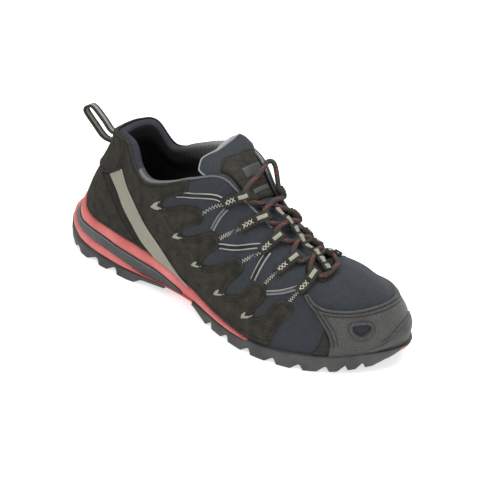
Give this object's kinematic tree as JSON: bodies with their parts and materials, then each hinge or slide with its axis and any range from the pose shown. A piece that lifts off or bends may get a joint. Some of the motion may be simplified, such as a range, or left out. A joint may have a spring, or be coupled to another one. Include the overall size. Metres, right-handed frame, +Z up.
{
  "type": "safety shoe",
  "caption": "Low-cut trainer-style safety shoe for the right foot: textile and suede upper, grained toe cap, laced throat, lugged sole with red midsole.",
  "frame": {"origin": "middle of the shoe's footprint, on the floor under its sole", "axes": "+X towards the toe, +Y towards the inner side of the foot, +Z up"},
  "size_m": [0.3195, 0.1008, 0.1263],
  "materials": {
    "navy_textile": "dark navy woven textile",
    "foot_bed": "dark felted foot bed",
    "padded_textile": "padded dark mesh and textile",
    "red_foam": "satin coral red moulded foam",
    "grey_band": "satin dark grey moulding",
    "dark_rubber": "matt dark grey moulded rubber",
    "grained_cap": "dark grey coated leather with a fine grain",
    "dark_suede": "dark brown-black suede with a fine nap",
    "reflective_strip": "grey-olive reflective tape",
    "webbing": "dark woven webbing",
    "lace_cord": "round dark braided lace with red flecks"
  },
  "bodies": {
    "root": {"upper": "navy_textile", "insole": "foot_bed", "tongue": "padded_textile", "midsole": "red_foam", "heel_wedge": "red_foam", "stabiliser": "grey_band", "outsole_heel": "dark_rubber", "outsole_forefoot": "dark_rubber", "toe_cap": "grained_cap", "quarter_outer": "dark_suede", "quarter_inner": "dark_suede", "heel_strip_outer": "reflective_strip", "heel_strip_inner": "reflective_strip", "pull_loop": "webbing", "lace_loop_outer_1": "webbing", "lace_loop_outer_2": "webbing", "lace_loop_outer_3": "webbing", "lace_loop_outer_4": "webbing", "lace_loop_outer_5": "webbing", "lace_loop_inner_1": "webbing", "lace_loop_inner_2": "webbing", "lace_loop_inner_3": "webbing", "lace_loop_inner_4": "webbing", "lace_loop_inner_5": "webbing", "lace_keeper": "webbing", "lace": "lace_cord"}
  },
  "joints": []
}
